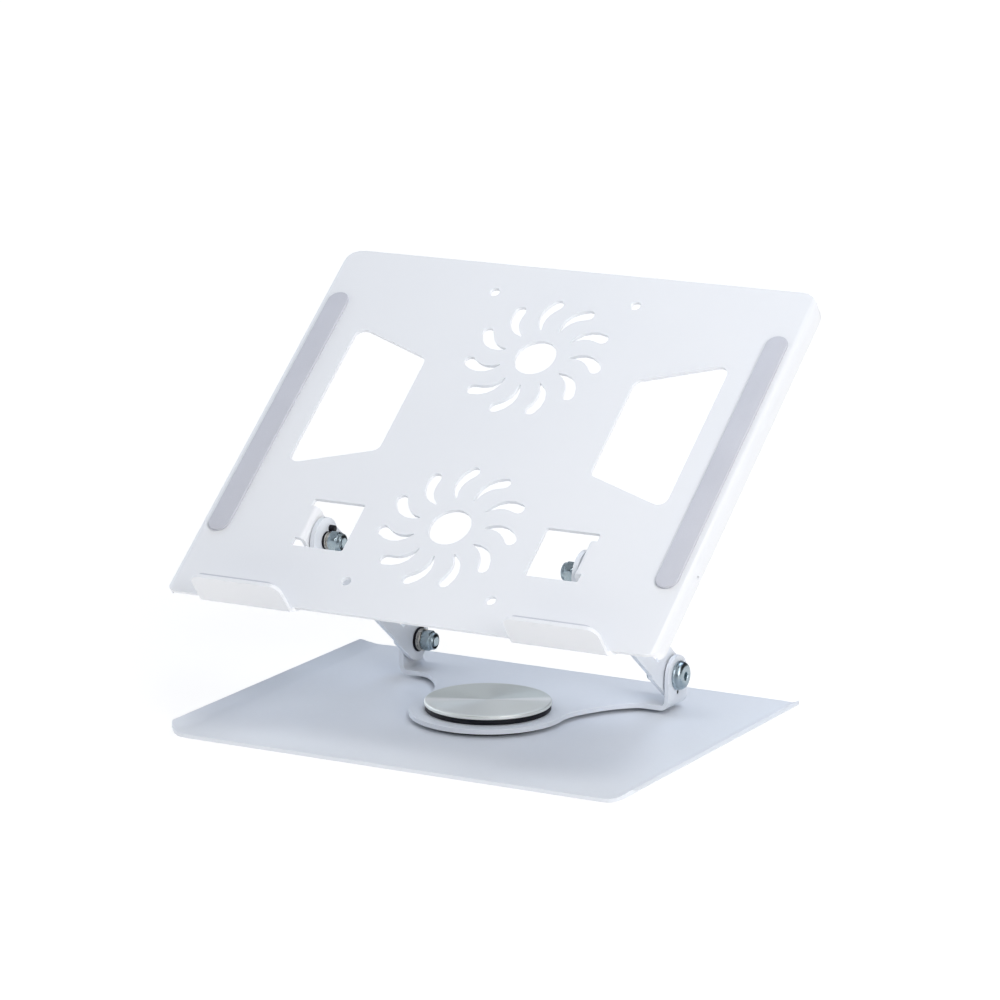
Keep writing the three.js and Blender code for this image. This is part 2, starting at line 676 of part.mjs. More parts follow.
for (const [label, side] of [['left', -1], ['right', 1]]) {
  add(`arm_${label}`, arm(side), PAINT);
  add(`lower_${label}_stop_pin`, stopPin(side, 0, 0), BLACK);
  add(`upper_${label}_stop_pin`, stopPin(side, ARM_LENGTH, UPPER_PIN_PROUD), BLACK);
  add(`tray_pad_${label}`, trayPad(side), GREY_RUBBER);
  add(`hook_pad_${label}`, hookPad(side), GREY_RUBBER);
  for (const [piece, body, finish] of hingeHardware(side, BRACKET_SHEET, LOWER_WASHERS)) {
    add(`lower_${label}_${piece}`, body.translate([0, LOWER_Y, LOWER_Z]), finish);
  }
  for (const [piece, body, finish] of hingeHardware(side, TRAY_SHEET, UPPER_WASHERS)) {
    add(`upper_${label}_${piece}`, onTray(body.translate([0, TRAY_PIVOT_Y, TRAY_PIVOT_Z])), finish);
  }
}

export default stand;
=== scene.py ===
import json
from math import cos, pi, radians, sin, sqrt

import bmesh
import bpy
from mathutils import Matrix, Vector


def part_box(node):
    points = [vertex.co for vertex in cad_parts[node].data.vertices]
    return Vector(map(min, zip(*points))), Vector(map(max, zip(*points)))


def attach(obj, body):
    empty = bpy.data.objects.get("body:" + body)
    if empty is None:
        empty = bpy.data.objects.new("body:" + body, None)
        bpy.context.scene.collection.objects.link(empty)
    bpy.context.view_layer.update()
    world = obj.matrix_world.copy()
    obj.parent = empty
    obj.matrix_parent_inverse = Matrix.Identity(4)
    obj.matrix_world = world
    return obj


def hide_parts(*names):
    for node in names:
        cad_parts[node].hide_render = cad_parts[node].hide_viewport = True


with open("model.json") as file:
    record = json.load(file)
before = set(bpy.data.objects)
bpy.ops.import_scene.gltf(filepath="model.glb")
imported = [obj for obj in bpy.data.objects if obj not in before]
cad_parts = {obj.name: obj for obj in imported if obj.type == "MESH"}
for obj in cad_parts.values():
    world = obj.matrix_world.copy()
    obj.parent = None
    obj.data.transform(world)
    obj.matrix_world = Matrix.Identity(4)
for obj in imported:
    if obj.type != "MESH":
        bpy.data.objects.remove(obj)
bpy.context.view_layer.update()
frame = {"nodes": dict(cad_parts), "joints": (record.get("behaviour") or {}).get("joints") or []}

MM = 0.001
SIDES = {"left": -1, "right": 1}

# Camera, with no roll and no shift.
CAMERA_PLACE = (1.14269, -2.06156, 0.65484)
CAMERA_AZIMUTH = 28.85
CAMERA_ELEVATION = 12.83
CAMERA_LENS = 171.94

# Softboxes, all aimed at one point of the part, and the floor.
SOFTBOX_DISTANCE = 2
SOFTBOX_SIZE = 1
SOFTBOX_TARGET = Vector((0, 0, 0.1))
FLOOR_HALF = 8

# The tray's own frame: tilt, and where the hinge axis is in it.
TRAY_TILT = radians(38.5)
TRAY_PIVOT = (53.5 * MM, -14 * MM)
PAD = {"half": 6 * MM, "front": 40.5 * MM, "back": 204.5 * MM, "thickness": 1.4 * MM, "curve": 0.5 * MM}
HOOK = {"inner": 63.1 * MM, "outer": 115.3 * MM, "face": -1.5 * MM}
HOOK_PAD = {
    "margin": 3 * MM, "low": 2.2 * MM, "high": 19.2 * MM,
    "corner": 4.5 * MM, "thickness": 1 * MM, "curve": 0.3 * MM,
}
GAP = 0.15 * MM

# Hinge hardware.
BOLT_BORE = 3.25 * MM
SCREW = {"head": 7.6 * MM, "head_height": 4.4 * MM, "shank": 2.95 * MM}
HEAD = {"collar": 1.25 * MM, "step": 0.35 * MM, "flat": 4.6 * MM, "break": 0.5 * MM}
SOCKET = {"across": 4 * MM, "depth": 2.2 * MM}
THREAD = {"pitch": 1 * MM, "depth": 0.45 * MM, "length": 6 * MM, "point": 0.9 * MM, "steps": 8}
NUT = {"across": 10 * MM, "bore": 3.2 * MM, "collar": 4.55 * MM, "insert": 1.9 * MM}
TAB = {"radius": 1 * MM, "offset": 8.9 * MM, "reach": 2.5 * MM, "curve": 0.3 * MM}
PIN_CURVE = 0.45 * MM

# Swivel stack and feet.
CAP = {"height": 2.2 * MM, "under": 1.15 * MM, "rim": 0.9 * MM, "skirt": 29.1 * MM, "sheet": 1 * MM}
RING = {"inner": 29.4 * MM, "curve": 0.35 * MM}
SLIDE = {"inner": 9.1 * MM, "curve": 0.3 * MM}
FOOT = {"recess": 0.35 * MM, "rim": 3 * MM, "slope": 0.6 * MM, "curve": 0.6 * MM, "hole": 0.5 * MM}

# Sheet metal: edge rounding, and the angle in degrees beyond which an edge stays crisp.
SHEET_EDGE = 0.25 * MM
SHARP_EDGE = 35


# ---- camera, light and floor ---------------------------------------------------


def add_camera():
    """A long lens, so that the picture has little perspective."""
    data = bpy.data.cameras.new("camera")
    data.lens = CAMERA_LENS
    data.clip_end = 100
    camera = bpy.data.objects.new("camera", data)
    camera.location = CAMERA_PLACE
    camera.rotation_euler = (radians(90 - CAMERA_ELEVATION), 0, radians(CAMERA_AZIMUTH))
    bpy.context.scene.collection.objects.link(camera)
    bpy.context.scene.camera = camera


def add_softbox(name, azimuth, elevation, power, colour):
    """A square softbox facing the part. Azimuth 0 is in front of it and 90 to its right."""
    turn, rise = radians(azimuth), radians(elevation)
    place = SOFTBOX_DISTANCE * Vector((sin(turn) * cos(rise), -cos(turn) * cos(rise), sin(rise)))
    data = bpy.data.lights.new(name, "AREA")
    data.shape = "SQUARE"
    data.size = SOFTBOX_SIZE
    data.energy = power
    data.color = colour
    light = bpy.data.objects.new(name, data)
    light.location = place
    light.rotation_euler = (SOFTBOX_TARGET - place).to_track_quat("-Z", "Y").to_euler()
    bpy.context.scene.collection.objects.link(light)


def add_world(direction, colour):
    """A dark studio with one soft wall, whose glow fades with the squared cosine off its direction."""
    world = bpy.data.worlds.new("studio")
    world.use_nodes = True
    tree = world.node_tree
    compass = tree.nodes.new("ShaderNodeTexCoord")
    facing = tree.nodes.new("ShaderNodeVectorMath")
    facing.operation = "DOT_PRODUCT"
    facing.inputs[1].default_value = direction
    lit = tree.nodes.new("ShaderNodeMath")
    lit.operation = "MAXIMUM"
    lit.inputs[1].default_value = 0
    faded = tree.nodes.new("ShaderNodeMath")
    faded.operation = "MULTIPLY"
    background = tree.nodes["Background"]
    background.inputs["Color"].default_value = (*colour, 1)
    tree.links.new(compass.outputs["Generated"], facing.inputs[0])
    tree.links.new(facing.outputs["Value"], lit.inputs[0])
    tree.links.new(lit.outputs["Value"], faded.inputs[0])
    tree.links.new(lit.outputs["Value"], faded.inputs[1])
    tree.links.new(faded.outputs["Value"], background.inputs["Strength"])
    bpy.context.scene.world = world


def add_floor(finish):
    """The floor, which belongs to the scene and not to the part."""
    half = FLOOR_HALF
    corners = [(-half, -half, 0), (half, -half, 0), (half, half, 0), (-half, half, 0)]
    mesh = bpy.data.meshes.new("floor")
    mesh.from_pydata(corners, [], [(0, 1, 2, 3)])
    mesh.materials.append(finish)
    floor = bpy.data.objects.new("floor", mesh)
    bpy.context.scene.collection.objects.link(floor)


# ---- materials ----------------------------------------------------------------


class Finish:
    """A Principled material and short calls for the nodes that feed it."""

    def __init__(self, name, **inputs):
        self.material = bpy.data.materials.new(name)
        self.material.use_nodes = True
        self.tree = self.material.node_tree
        self.shader = self.tree.nodes["Principled BSDF"]
        self.place = self.node("ShaderNodeTexCoord").outputs["Object"]
        for key, value in inputs.items():
            self.shader.inputs[key.replace("_", " ")].default_value = value

    def node(self, kind, **settings):
        made = self.tree.nodes.new(kind)
        for key, value in settings.items():
            setattr(made, key, value)
        return made

    def link(self, source, target):
        self.tree.links.new(source, target)

    def feed(self, name, source):
        self.link(source, self.shader.inputs[name])

    def noise(self, scale, detail=2, roughness=0.5):
        noise = self.node("ShaderNodeTexNoise")
        noise.inputs["Scale"].default_value = scale
        noise.inputs["Detail"].default_value = detail
        noise.inputs["Roughness"].default_value = roughness
        self.link(self.place, noise.inputs["Vector"])
        return noise.outputs["Fac"]

    def spread(self, value, low, high, start=0.3, end=0.7):
        """Carries a value between start and end over to low and high. Noise runs from 0.3 to 0.7."""
        ranged = self.node("ShaderNodeMapRange")
        self.link(value, ranged.inputs["Value"])
        limits = {"From Min": start, "From Max": end, "To Min": low, "To Max": high}
        for key, number in limits.items():
            ranged.inputs[key].default_value = number
        return ranged.outputs["Result"]

    def blend(self, factor, first, second):
        """Colour first where factor is 0 and second where it is 1. Each is a colour or a socket."""
        mix = self.node("ShaderNodeMix", data_type="RGBA")
        self.link(factor, mix.inputs["Factor"])
        for key, value in (("A", first), ("B", second)):
            socket = next(s for s in mix.inputs if s.name == key and s.type == "RGBA")
            if isinstance(value, tuple):
                socket.default_value = (*value, 1)
            else:
                self.link(value, socket)
        return next(s for s in mix.outputs if s.type == "RGBA")

    def sums(self, operation, first, second):
        """One step of arithmetic. Each term is a number or a socket."""
        maths = self.node("ShaderNodeMath", operation=operation)
        for socket, value in zip(maths.inputs, (first, second)):
            if isinstance(value, (int, float)):
                socket.default_value = value
            else:
                self.link(value, socket)
        return maths.outputs["Value"]

    def bump(self, height, strength, depth, after=None):
        """Relief from a height, on top of an earlier bump if after is given."""
        bump = self.node("ShaderNodeBump")
        bump.inputs["Strength"].default_value = strength
        bump.inputs["Distance"].default_value = depth
        self.link(height, bump.inputs["Height"])
        if after:
            self.link(after, bump.inputs["Normal"])
        return bump.outputs["Normal"]

    def edge(self, radius):
        """1 on flat faces, and less within radius of an edge."""
        bevel = self.node("ShaderNodeBevel", samples=4)
        bevel.inputs["Radius"].default_value = radius
        geometry = self.node("ShaderNodeNewGeometry")
        dot = self.node("ShaderNodeVectorMath", operation="DOT_PRODUCT")
        self.link(bevel.outputs["Normal"], dot.inputs[0])
        self.link(geometry.outputs["Normal"], dot.inputs[1])
        return dot.outputs["Value"]


# Darkest and lightest white of each coat: the cooler and darker one is on the base and arms, the warmer
# one on the tray.
COOL_WHITE = ((0.770, 0.800, 0.845), (0.795, 0.822, 0.862))
WARM_WHITE = ((0.820, 0.829, 0.845), (0.845, 0.850, 0.862))


def powder_coat(name, whites):
    """Satin white powder coat, with faint orange peel and a painted highlight along edges."""
    finish = Finish(name, IOR=1.5)
    cloud = finish.spread(finish.noise(9, 3), 0, 1)
    coat = finish.blend(cloud, *whites)
    # Painted highlight: colour within 0.7 mm of an edge is painted lighter, where rounded edges would
    # catch the light.
    edges = finish.spread(finish.edge(0.7 * MM), 1, 0, 0.86, 0.99)
    finish.feed("Base Color", finish.blend(edges, coat, (0.86, 0.88, 0.905)))
    finish.feed("Roughness", finish.spread(finish.noise(260, 3), 0.33, 0.42))
    peel = finish.bump(finish.noise(420, 2, 0.4), 0.10, 0.05 * MM)
    finish.feed("Normal", finish.bump(finish.noise(2600, 2), 0.06, 0.02 * MM, peel))
    return finish.material


def zinc():
    """Blue-passivated zinc plating, uneven in gloss, with a painted highlight along edges."""
    finish = Finish("zinc_plating", Metallic=1.0)
    cloud = finish.spread(finish.noise(320, 4, 0.6), 0, 1)
    plate = finish.blend(cloud, (0.33, 0.41, 0.45), (0.40, 0.47, 0.50))
    # Painted highlight: colour near edges is painted lighter, where rounded edges would catch the
    # light.
    edges = finish.spread(finish.edge(0.3 * MM), 1, 0, 0.75, 0.98)
    finish.feed("Base Color", finish.blend(edges, plate, (0.58, 0.66, 0.70)))
    finish.feed("Roughness", finish.spread(finish.noise(500, 3), 0.25, 0.34))
    finish.feed("Normal", finish.bump(finish.noise(900, 3, 0.5), 0.04, 0.03 * MM))
    return finish.material


def yellow_zinc():
    """Flat washers, plated a little warmer."""
    finish = Finish("washer_plating", Metallic=1.0)
    cloud = finish.spread(finish.noise(400, 4, 0.6), 0, 1)
    finish.feed("Base Color", finish.blend(cloud, (0.42, 0.40, 0.36), (0.56, 0.54, 0.50)))
    finish.feed("Roughness", finish.spread(finish.noise(800, 3), 0.22, 0.38))
    finish.feed("Normal", finish.bump(finish.noise(1100, 3), 0.10, 0.05 * MM))
    return finish.material


def turned_grain(finish, radius):
    """Fine rings about the axis."""
    rings = finish.node("ShaderNodeTexNoise", noise_dimensions="1D")
    rings.inputs["Scale"].default_value = 5200
    rings.inputs["Detail"].default_value = 3
    finish.link(radius, rings.inputs["W"])
    return rings.outputs["Fac"]


def brushed_cap():
    """Spun aluminium, with two bright fans of painted highlight and painted shade on its far half.
    The fans run at right angles to the direction in which the camera looks."""
    finish = Finish("spun_aluminium", Metallic=0.5, Anisotropic=0.7)
    apart = finish.node("ShaderNodeSeparateXYZ")
    finish.link(finish.place, apart.inputs["Vector"])
    x, y = apart.outputs["X"], apart.outputs["Y"]
    square = finish.sums("ADD", finish.sums("MULTIPLY", x, x), finish.sums("MULTIPLY", y, y))
    radius = finish.sums("SQRT", square, 0.5)
    grain = turned_grain(finish, radius)

    turn = radians(CAMERA_AZIMUTH)
    sideways = finish.sums("MULTIPLY", x, sin(turn))
    beyond = finish.sums("SUBTRACT", finish.sums("MULTIPLY", y, cos(turn)), sideways)
    slant = finish.sums("DIVIDE", beyond, finish.sums("MAXIMUM", radius, 1 * MM))
    # Painted light: the far half, as seen from the camera, is painted darker as shade and the near half
    # lighter; two thin fans at right angles to the view are a painted highlight.
    near = finish.blend(finish.spread(grain, 0, 1), (0.84, 0.86, 0.82), (0.90, 0.92, 0.88))
    far = finish.blend(finish.spread(grain, 0, 1), (0.66, 0.69, 0.65), (0.72, 0.75, 0.71))
    lit_and_shaded_halves = finish.blend(finish.spread(slant, 0, 1, -0.06, 0.10), near, far)
    painted_fan_highlight = finish.spread(finish.sums("ABSOLUTE", slant, 0), 1, 0, 0.02, 0.2)
    finish.feed("Base Color", finish.blend(painted_fan_highlight, lit_and_shaded_halves, (1.0, 1.0, 0.97)))
    finish.feed("Roughness", finish.spread(grain, 0.30, 0.40))
    tangent = finish.node("ShaderNodeTangent", direction_type="RADIAL", axis="Z")
    finish.feed("Tangent", tangent.outputs["Tangent"])
    finish.feed("Normal", finish.bump(grain, 0.05, 0.02 * MM))
    return finish.material


def black_nylon():
    """Black nylon washers, rings and pins, a little uneven."""
    finish = Finish("black_nylon", IOR=1.5, Specular_IOR_Level=0.2)
    cloud = finish.spread(finish.noise(240, 4), 0, 1)
    finish.feed("Base Color", finish.blend(cloud, (0.005, 0.005, 0.009), (0.011, 0.011, 0.016)))
    finish.feed("Roughness", finish.spread(finish.noise(600, 3), 0.38, 0.55))
    finish.feed("Normal", finish.bump(finish.noise(1800, 3), 0.15, 0.03 * MM))
    return finish.material


def grey_silicone():
    """Light grey silicone strips with a fine moulded grain."""
    finish = Finish("grey_silicone", IOR=1.42)
    cloud = finish.spread(finish.noise(30, 3), 0, 1)
    body = finish.blend(cloud, (0.555, 0.560, 0.605), (0.595, 0.600, 0.645))
    speck = finish.spread(finish.noise(2400, 2), 0, 0.35, 0.45, 0.75)
    finish.feed("Base Color", finish.blend(speck, body, (0.50, 0.505, 0.545)))
    finish.feed("Roughness", finish.spread(finish.noise(500, 3), 0.62, 0.8))
    finish.feed("Normal", finish.bump(finish.noise(3000, 3), 0.25, 0.04 * MM))
    return finish.material


def dark_rubber():
    """Matt black rubber feet."""
    finish = Finish("dark_rubber", IOR=1.45)
    cloud = finish.spread(finish.noise(180, 4), 0, 1)
    finish.feed("Base Color", finish.blend(cloud, (0.018, 0.018, 0.020), (0.034, 0.034, 0.036)))
    finish.feed("Roughness", finish.spread(finish.noise(700, 3), 0.7, 0.9))
    finish.feed("Normal", finish.bump(finish.noise(1500, 4), 0.3, 0.06 * MM))
    return finish.material


def floor_paper():
    """White paper lit from below, a little more so far away, where less softbox light falls."""
    finish = Finish("floor_paper", Roughness=0.9, Specular_IOR_Level=0.0)
    cloud = finish.spread(finish.noise(3, 3), 0, 1)
    finish.feed("Base Color", finish.blend(cloud, (0.295, 0.295, 0.298), (0.305, 0.305, 0.308)))
    away = finish.node("ShaderNodeVectorMath", operation="LENGTH")
    finish.link(finish.place, away.inputs[0])
    finish.feed("Emission Strength", finish.spread(away.outputs["Value"], 0.80, 0.97, 0.4, 2.4))
    finish.shader.inputs["Emission Color"].default_value = (1, 0.995, 0.99, 1)
    return finish.material


# ---- shapes -------------------------------------------------------------------


def keep_edges(bm):
    """Smooth faces, with edges sharper than SHARP_EDGE left crisp."""
    bmesh.ops.recalc_face_normals(bm, faces=bm.faces)
    for face in bm.faces:
        face.smooth = True
    for edge in bm.edges:
        edge.smooth = len(edge.link_faces) == 2 and edge.calc_face_angle() < radians(SHARP_EDGE)


def piece(name, bm, finish, body, node, place=Matrix.Identity(4)):
    """A new piece in the row frame that stands for one CAD node."""
    bmesh.ops.transform(bm, matrix=place, verts=bm.verts)
    keep_edges(bm)
    mesh = bpy.data.meshes.new(name)
    bm.to_mesh(mesh)
    bm.free()
    mesh.materials.append(finish)
    made = bpy.data.objects.new(name, mesh)
    bpy.context.scene.collection.objects.link(made)
    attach(made, body)
    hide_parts(node)
    return made


def turned(rings, segments=96, closed=True):
    """A solid turned about Z from (z, radius) rings. A radius may be a function of the angle and z.
    If closed, the last ring joins the first, as in a washer. If not, both ends are capped."""
    bm = bmesh.new()
    loops = []
    for z, radius in rings:
        loop = []
        for i in range(segments):
            angle = 2 * pi * i / segments
            reach = radius(angle, z) if callable(radius) else radius
            loop.append(bm.verts.new((reach * cos(angle), reach * sin(angle), z)))
        loops.append(loop)
    after = loops[1:] + loops[:1] if closed else loops[1:]
    for low, high in zip(loops, after):
        for i in range(segments):
            j = (i + 1) % segments
            bm.faces.new((low[i], low[j], high[j], high[i]))
    if not closed:
        bm.faces.new(loops[0])
        bm.faces.new(loops[-1])
    return bm


def rounding(z, radius, curve, start, end, steps=4):
    """(z, radius) rings along an arc about a centre. Its angles run from outwards (0) to up (90)."""
    angles = [radians(start + (end - start) * i / steps) for i in range(steps + 1)]
    return [(z + curve * sin(a), radius + curve * cos(a)) for a in angles]


def disc_rings(inner, outer, low, high, curve):
    """A flat ring with rounded outer edges and small inner ones."""
    small = curve / 2
    return [
        (low + small, inner),
        (low, inner + small),
        *rounding(low + curve, outer - curve, curve, -90, 0),
        *rounding(high - curve, outer - curve, curve, 0, 90),
        (high, inner + small),
        (high - small, inner),
    ]


def hexagon(across_flats, round_off=0.0):
    """Radius of a hexagon at an angle, no further out than its rounded corners."""
    def reach(angle, _z):
        turn = (angle + pi / 6) % (pi / 3) - pi / 6
        return min(across_flats / 2 / cos(turn), across_flats / sqrt(3) - round_off)
    return reach


def capped(shape, limit):
    """shape, but never further out than limit."""
    return lambda angle, z: min(shape(angle, z), limit)


# ---- hinge hardware -----------------------------------------------------------


def hinge_place(node, side, tilt):
    """Turns a piece drawn up +Z to lie outwards along X, from the inner end of a CAD node."""
    low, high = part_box(node)
    middle = (low + high) / 2
    inner = min(abs(low.x), abs(high.x))
    turn = Matrix.Rotation(tilt, 4, "X") @ Matrix.Rotation(side * pi / 2, 4, "Y")
    return Matrix.Translation((side * inner, middle.y, middle.z)) @ turn


def reach_of(node):
    """Length along X and radius of a round CAD node."""
    low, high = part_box(node)
    return high.x - low.x, (high.z - low.z) / 2


def thread_radius(angle, z):
    """Radius of the screw thread, a helix of triangles."""
    wave = abs(((z / THREAD["pitch"] - angle / (2 * pi)) % 1) * 2 - 1)
    return SCREW["shank"] - THREAD["depth"] * wave


def thread_rings():
    step = THREAD["pitch"] / THREAD["steps"]
    count = int(THREAD["length"] / THREAD["pitch"] * THREAD["steps"])
    return [(THREAD["point"] + i * step, thread_radius) for i in range(count)]


def dome_rings(crown, height, steps=8):
    """A quarter ellipse from the rim of the head up to the flat round its socket."""
    span = SCREW["head"] - HEAD["step"] - HEAD["flat"]
    angles = [radians(90 * i / steps) for i in range(steps + 1)]
    return [(crown + height * sin(a), HEAD["flat"] + span * cos(a)) for a in angles]


def screw_shape(length):
    """Screw with its threaded tip at z = 0, a plain shank, and a domed head with a hex socket."""
    head, shank = SCREW["head"], SCREW["shank"]
    bearing = length - SCREW["head_height"]
    crown = bearing + HEAD["collar"]
    dome_height = SCREW["head_height"] - HEAD["collar"] - HEAD["break"]
    socket = hexagon(SOCKET["across"])
    rim = hexagon(SOCKET["across"] + 0.5 * MM)
    floor = length - SOCKET["depth"]
    thread = thread_rings()
    return turned([
        (0, shank - 0.6 * MM), (0.3 * MM, shank - 0.3 * MM), *thread,
        (thread[-1][0] + 0.6 * MM, shank), (bearing, shank),
        (bearing, head - 0.2 * MM), (bearing + 0.2 * MM, head),
        (crown - 0.25 * MM, head), (crown, head - 0.25 * MM), (crown, head - HEAD["step"]),
        *dome_rings(crown + HEAD["break"], dome_height),
        (length, rim), (length - 0.25 * MM, socket), (floor, socket), (floor - 0.3 * MM, 0.5 * MM),
    ], segments=72, closed=False)


def nut_shape(height):
    """Lock nut: chamfered hexagon, and a round collar at the inner end over the nylon insert."""
    flat = hexagon(NUT["across"], 0.12 * MM)
    corner = NUT["across"] / sqrt(3)
    collar = NUT["collar"]
    base = NUT["insert"]
    rings = [
        (0.9 * MM, NUT["bore"]), (0.25 * MM, NUT["bore"] + 0.2 * MM), (0.1 * MM, collar - 0.75 * MM),
        *rounding(0.5 * MM, collar - 0.5 * MM, 0.5 * MM, -90, 0),
        (base - 0.3 * MM, collar), (base, collar + 0.25 * MM),
        (base + 0.1 * MM, capped(flat, corner - 0.75 * MM)),
        (base + 0.45 * MM, capped(flat, corner - 0.3 * MM)),
        (base + 0.8 * MM, flat), (height - 0.8 * MM, flat),
        (height - 0.4 * MM, capped(flat, corner - 0.3 * MM)),
        (height, capped(flat, corner - 0.8 * MM)),
        (height, NUT["bore"] + 0.3 * MM), (height - 0.3 * MM, NUT["bore"]),
    ]
    return turned(rings)


def show_insert(nut, finish):
    """Gives the end face inside a nut's collar the look of its nylon insert."""
    nut.data.materials.append(finish)
    axis = (Vector(nut.bound_box[0]) + Vector(nut.bound_box[6])) / 2
    inner = min(abs(corner[0]) for corner in nut.bound_box)
    for face in nut.data.polygons:
        middle = face.center
        reach = sqrt((middle.y - axis.y) ** 2 + (middle.z - axis.z) ** 2)
        if abs(middle.x) < inner + 0.8 * MM and reach < NUT["collar"] - 0.45 * MM:
            face.material_index = 1


def washer_shape(radius, thickness, curve):
    return turned(disc_rings(BOLT_BORE, radius, 0, thickness, curve), segments=72)


def tabbed_shape(radius, thickness, curve, side):
    """Washer with a small peg at its rim, which sits in the locating hole of the hinge lug."""
    bm = washer_shape(radius, thickness, curve)
    tip = thickness + TAB["reach"]
    curve_in = TAB["curve"]
    rounded = rounding(tip - curve_in, TAB["radius"] - curve_in, curve_in, 0, 90)
    peg = turned([(0.1 * MM, TAB["radius"]), *rounded], segments=24, closed=False)
    bmesh.ops.translate(peg, verts=peg.verts, vec=(side * TAB["offset"], 0, 0))
    mesh = bpy.data.meshes.new("peg")
    peg.to_mesh(mesh)
    peg.free()
    bm.from_mesh(mesh)
    bpy.data.meshes.remove(mesh)
    return bm


def stack_shape(radius, thickness):
    """Thick plated washer with a groove round its rim."""
    edge, groove = 0.2 * MM, 0.5 * MM
    middle = thickness / 2
    return turned([
        (edge / 2, BOLT_BORE), (0, BOLT_BORE + edge), (0, radius - edge), (edge, radius),
        (middle - edge, radius), (middle, radius - groove), (middle + edge, radius),
        (thickness - edge, radius), (thickness, radius - edge), (thickness, BOLT_BORE + edge),
        (thickness - edge / 2, BOLT_BORE),
    ], segments=72)


def pin_shape(length, radius):
    """Black stop pin: rounded at its inner end, which is at z = 0."""
    return turned([
        *rounding(PIN_CURVE, radius - PIN_CURVE, PIN_CURVE, -90, 0),
        (length - 0.1 * MM, radius), (length, radius - 0.1 * MM),
    ], segments=48, closed=False)


def add_pins(finish):
    for end in ("lower", "upper"):
        for label, side in SIDES.items():
            node = f"{end}_{label}_stop_pin"
            bm = pin_shape(*reach_of(node))
            place = hinge_place(node, side, 0)
            piece(f"{node}_detail", bm, finish, "arms", node, place)


def add_hinge(end, tilt, body, finishes):
    """Screw, washers and nut of the left and right hinge at one end of the arms."""
    for label, side in SIDES.items():
        def add(part, bm, finish):
            node = f"{end}_{label}_{part}"
            place = hinge_place(node, side, tilt)
            return piece(f"{node}_detail", bm, finishes[finish], body, node, place)

        prefix = f"{end}_{label}_"
        add("screw", screw_shape(reach_of(prefix + "screw")[0]), "zinc")
        nut = add("lock_nut", nut_shape(reach_of(prefix + "lock_nut")[0]), "zinc")
        show_insert(nut, finishes["black"])
        thickness, radius = reach_of(prefix + "flat_washer")
        add("flat_washer", stack_shape(radius, thickness), "washer")
        thickness, radius = reach_of(prefix + "seal_washer")
        add("seal_washer", washer_shape(radius, thickness, 0.3 * MM), "black")
        thickness, radius = reach_of(prefix + "friction_washer")
        downward = side if end == "lower" else -side
        tabbed = tabbed_shape(radius, thickness, 0.15 * MM, downward)
        add("friction_washer", tabbed, "black")


# ---- swivel stack -------------------------------------------------------------


def lifted(z):
    return Matrix.Translation((0, 0, z))


def add_cap(finish):
    """Spun cap: flat top, rounded rim, and a short skirt that drops inside the ring."""
    low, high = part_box("swivel_cap")
    radius, top = high.x, high.z - low.z
    rim, skirt = CAP["rim"], CAP["skirt"]
    inside = skirt - CAP["sheet"]
    ceiling = top - CAP["under"]
    lip = top - CAP["height"]
    rings = [
        (ceiling, 1 * MM), (ceiling, inside), (0, inside), (0, skirt), (lip, skirt),
        (lip, radius - 0.3 * MM), (lip + 0.3 * MM, radius),
        *rounding(top - rim, radius - rim, rim, 0, 90, 6),
        (top, radius - 2.4 * MM), (top, radius / 2), (top, 1 * MM),
    ]
    node, slot = "swivel_cap", "spun_aluminium"
    bm = turned(rings, 144, closed=False)
    piece(f"{node}_detail", bm, finish, "swivel", node, lifted(low.z))


def add_ring(node, size, body, finish):
    """A flat black ring about the swivel axis."""
    low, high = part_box(node)
    bm = turned(disc_rings(size["inner"], high.x, 0, high.z - low.z, size["curve"]), 128)
    piece(f"{node}_detail", bm, finish, body, node, lifted(low.z))


def foot_shape(radius, height):
    """Round foot, which stands on a ring about a shallow recess."""
    recess, hole, curve = FOOT["recess"], FOOT["hole"], FOOT["curve"]
    inner = radius - FOOT["rim"]
    return turned([
        (recess, hole), (recess, inner), (0, inner + FOOT["slope"]),
        *rounding(curve, radius - curve, curve, -90, 0),
        (height - 0.2 * MM, radius), (height, radius - 0.2 * MM), (height, hole),
    ], 72, closed=False)


def add_feet(finish):
    for end in ("front", "rear"):
        for label in SIDES:
            node = f"foot_{end}_{label}"
            low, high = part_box(node)
            middle = (low + high) / 2
            place = Matrix.Translation((middle.x, middle.y, low.z))
            bm = foot_shape((high.x - low.x) / 2, high.z - low.z)
            piece(f"{node}_detail", bm, finish, "base", node, place)


# ---- rubber pads --------------------------------------------------------------


def tray_frame():
    """Places what is drawn in the flat tray: X across, Y from the front edge back, Z out of the top."""
    hinge = next(j for j in frame["joints"] if j["name"] == "upper_hinge")["pos_m"]
    turn = Matrix.Rotation(TRAY_TILT, 4, "X")
    pivot = Matrix.Translation((0, -TRAY_PIVOT[0], -TRAY_PIVOT[1]))
    return Matrix.Translation(hinge) @ turn @ pivot


def pill(left, right, front, back, radius, steps=12):
    """Outline of a rounded rectangle."""
    corners = [
        (right - radius, front + radius, -90), (right - radius, back - radius, 0),
        (left + radius, back - radius, 90), (left + radius, front + radius, 180),
    ]
    outline = []
    for x, y, start in corners:
        for i in range(steps + 1):
            angle = radians(start + 90 * i / steps)
            outline.append((x + radius * cos(angle), y + radius * sin(angle)))
    return outline


def pillow(outline_at, low, high, curve, steps=4):
    """A flat pad with a rounded top edge: outline_at(inset) gives the outline that far in."""
    bm = bmesh.new()
    angles = [radians(90 * i / steps) for i in range(steps + 1)]
    rounded = [(high - curve + curve * sin(a), curve - curve * cos(a)) for a in angles]
    levels = [(low, 0.0), *rounded]
    loops = [[bm.verts.new((x, y, z)) for x, y in outline_at(inset)] for z, inset in levels]
    for below, above in zip(loops, loops[1:]):
        for i in range(len(below)):
            j = (i + 1) % len(below)
            bm.faces.new((below[i], below[j], above[j], above[i]))
    bm.faces.new(loops[0])
    bm.faces.new(loops[-1])
    return bm


